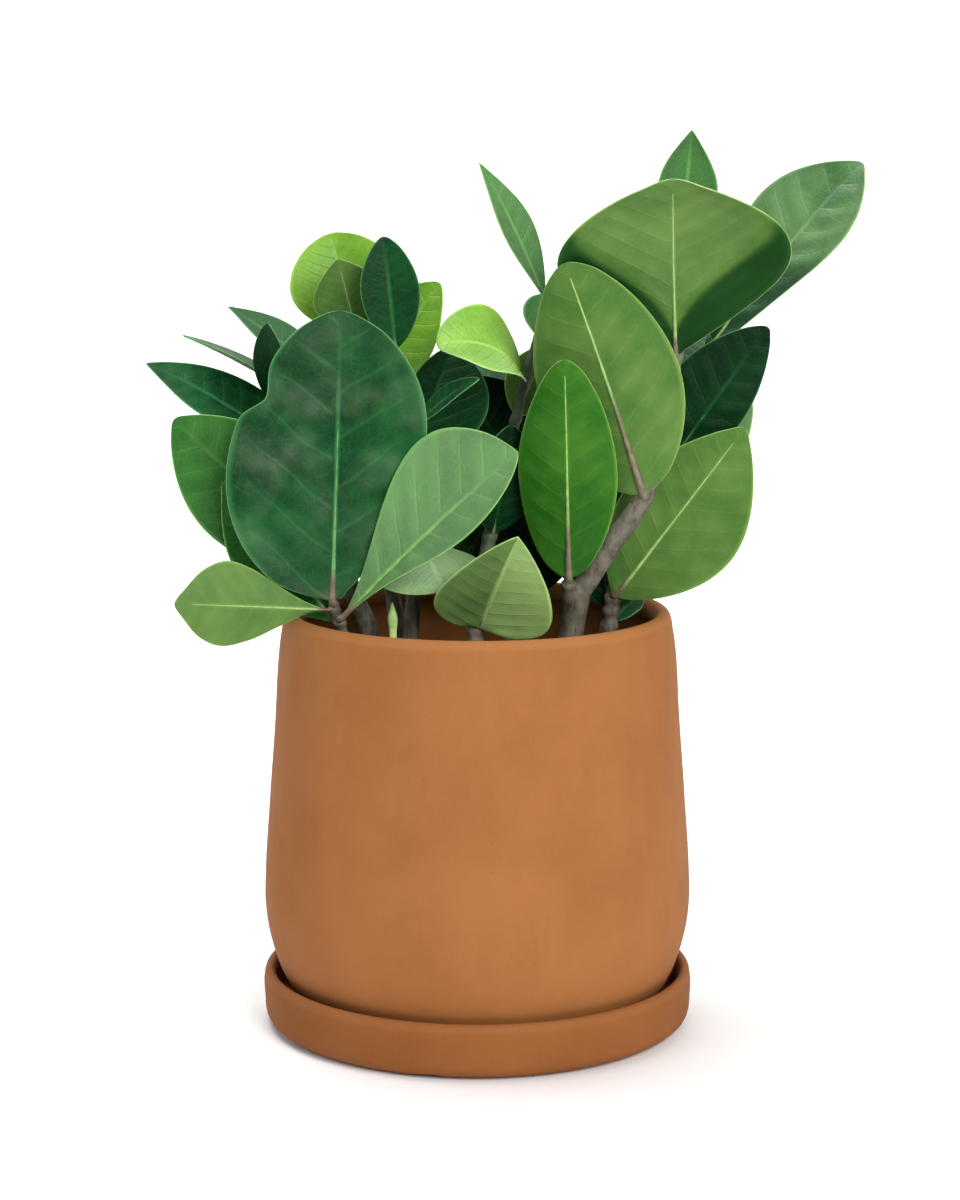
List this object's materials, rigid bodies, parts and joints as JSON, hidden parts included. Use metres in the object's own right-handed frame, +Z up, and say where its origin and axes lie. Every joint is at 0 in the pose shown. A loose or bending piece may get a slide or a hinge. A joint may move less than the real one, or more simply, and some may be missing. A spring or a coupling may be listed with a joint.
{
  "type": "potted zz plant",
  "caption": "Potted ZZ plant: upright woody stems with broad glossy green leaves in a round tapered terracotta pot on a matching saucer.",
  "frame": {"origin": "centre of the saucer's flat underside, on the surface it stands on", "axes": "+Z up, -Y towards the front of the plant, +X to the right as the front is looked at"},
  "size_m": [0.2482, 0.1573, 0.3091],
  "materials": {
    "pot": "matt unglazed terracotta",
    "saucer": "matt unglazed terracotta, slightly redder",
    "soil": "dark crumbly potting soil",
    "stem": "grey-brown woody stem, matt",
    "leaf_deep": "waxy dark green leaf",
    "leaf_green": "waxy mid green leaf",
    "leaf_pale": "paler satin underside of a leaf",
    "leaf_lime": "satin lime green young leaf"
  },
  "bodies": {
    "root": {"bud": "leaf_lime", "leaf_back_far_right": "leaf_deep", "leaf_back_high": "leaf_green", "leaf_back_left_low": "leaf_deep", "leaf_back_left_out": "leaf_deep", "leaf_back_left_up": "leaf_green", "leaf_back_low": "leaf_green", "leaf_back_mid": "leaf_deep", "leaf_back_right": "leaf_deep", "leaf_fork": "leaf_green", "leaf_front_big": "leaf_deep", "leaf_front_long": "leaf_green", "leaf_grey": "leaf_pale", "leaf_left": "leaf_green", "leaf_left_dark": "leaf_deep", "leaf_left_narrow": "leaf_deep", "leaf_left_spear": "leaf_deep", "leaf_left_upper_spear": "leaf_deep", "leaf_lime": "leaf_lime", "leaf_lime_right": "leaf_lime", "leaf_low_curl": "leaf_green", "leaf_low_left": "leaf_pale", "leaf_middle_arc": "leaf_deep", "leaf_middle_back": "leaf_deep", "leaf_middle_drop": "leaf_pale", "leaf_middle_fold": "leaf_pale", "leaf_middle_high": "leaf_deep", "leaf_middle_lime": "leaf_lime", "leaf_middle_pale": "leaf_pale", "leaf_middle_shade": "leaf_deep", "leaf_middle_shade_low": "leaf_deep", "leaf_middle_small": "leaf_deep", "leaf_middle_tall": "leaf_deep", "leaf_right_crown": "leaf_pale", "leaf_right_dark": "leaf_deep", "leaf_right_edge": "leaf_pale", "leaf_right_front": "leaf_pale", "leaf_right_high": "leaf_pale", "leaf_right_low": "leaf_pale", "leaf_right_shade": "leaf_deep", "leaf_right_small": "leaf_deep", "leaf_right_top": "leaf_green", "leaf_spear": "leaf_green", "leaf_spear_small": "leaf_deep", "leaf_top_dark": "leaf_deep", "pot": "pot", "saucer": "saucer", "soil": "soil", "stem_back": "stem", "stem_back_left": "stem", "stem_far_right": "stem", "stem_front_left": "stem", "stem_low_left": "stem", "stem_middle": "stem", "stem_middle_left": "stem", "stem_right": "stem"}
  },
  "joints": []
}
